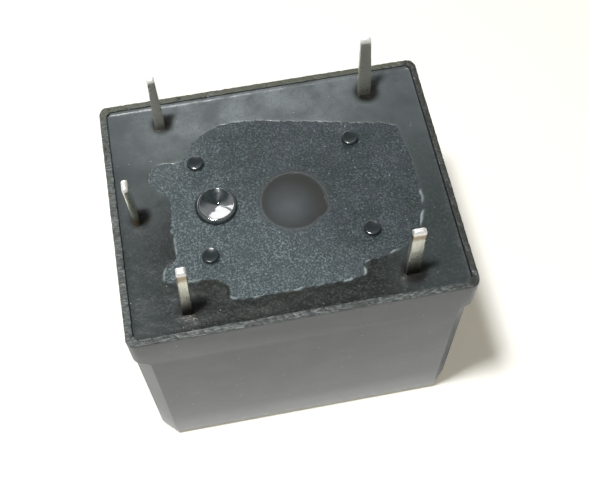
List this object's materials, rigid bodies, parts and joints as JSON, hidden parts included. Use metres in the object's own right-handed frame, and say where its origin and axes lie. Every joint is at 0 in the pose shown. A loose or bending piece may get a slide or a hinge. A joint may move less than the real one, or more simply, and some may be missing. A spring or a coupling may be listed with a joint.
{
  "type": "sealed automotive relay",
  "caption": "Small sealed black cube relay for circuit boards, lying on its closed end with its pins up; its hinged armature works a changeover contact inside.",
  "frame": {"origin": "centre of the case's closed end, on the surface that it lies on", "axes": "+Z from the closed end to the pins; +X along the case from the coil pins to the contact pins; +Y across the case, to the normally closed side"},
  "size_m": [0.019, 0.0154, 0.0202],
  "materials": {
    "case_plastic": "fine matt moulded black thermoplastic",
    "base_plastic": "spark-textured matt black thermoplastic",
    "resin": "cast black epoxy, satin",
    "vent_resin": "glossy black resin",
    "tinned_metal": "dull tinned copper alloy",
    "tinned_blade": "dull tinned copper alloy, bare alloy inside the case",
    "bobbin_plastic": "natural moulded thermoplastic",
    "enamelled_wire": "enamelled copper wire",
    "solder": "smooth solder",
    "plated_steel": "zinc-plated steel",
    "spring_bronze": "rolled bronze strip",
    "rivet_brass": "turned brass",
    "contact_silver": "silver alloy"
  },
  "bodies": {
    "relay": {"case": "case_plastic", "base": "base_plastic", "sealing_resin": "resin", "vent_seal": "vent_resin", "bobbin": "bobbin_plastic", "coil_winding": "enamelled_wire", "coil_solder": "solder", "coil_terminal_back": "tinned_metal", "coil_terminal_front": "tinned_metal", "core": "plated_steel", "yoke": "plated_steel", "contact_spring": "spring_bronze", "spring_rivets": "rivet_brass", "common_terminal": "tinned_metal", "common_rivet": "rivet_brass", "normally_closed_terminal": "tinned_blade", "normally_closed_contact": "contact_silver", "normally_open_terminal": "tinned_blade", "normally_open_contact": "contact_silver"},
    "armature": {"armature": "plated_steel", "armature_rivets": "rivet_brass", "moving_contact": "contact_silver"}
  },
  "joints": [
    {"name": "armature_hinge", "type": "hinge", "parent": "relay", "child": "armature", "pos_m": [-0.00775, 0, 0.00433], "axis": [0, -1, 0], "range_deg": [0, 2.3], "stiffness_Nm_per_rad": 0.05, "springref_deg": -2.86, "deforming": ["contact_spring"]}
  ]
}
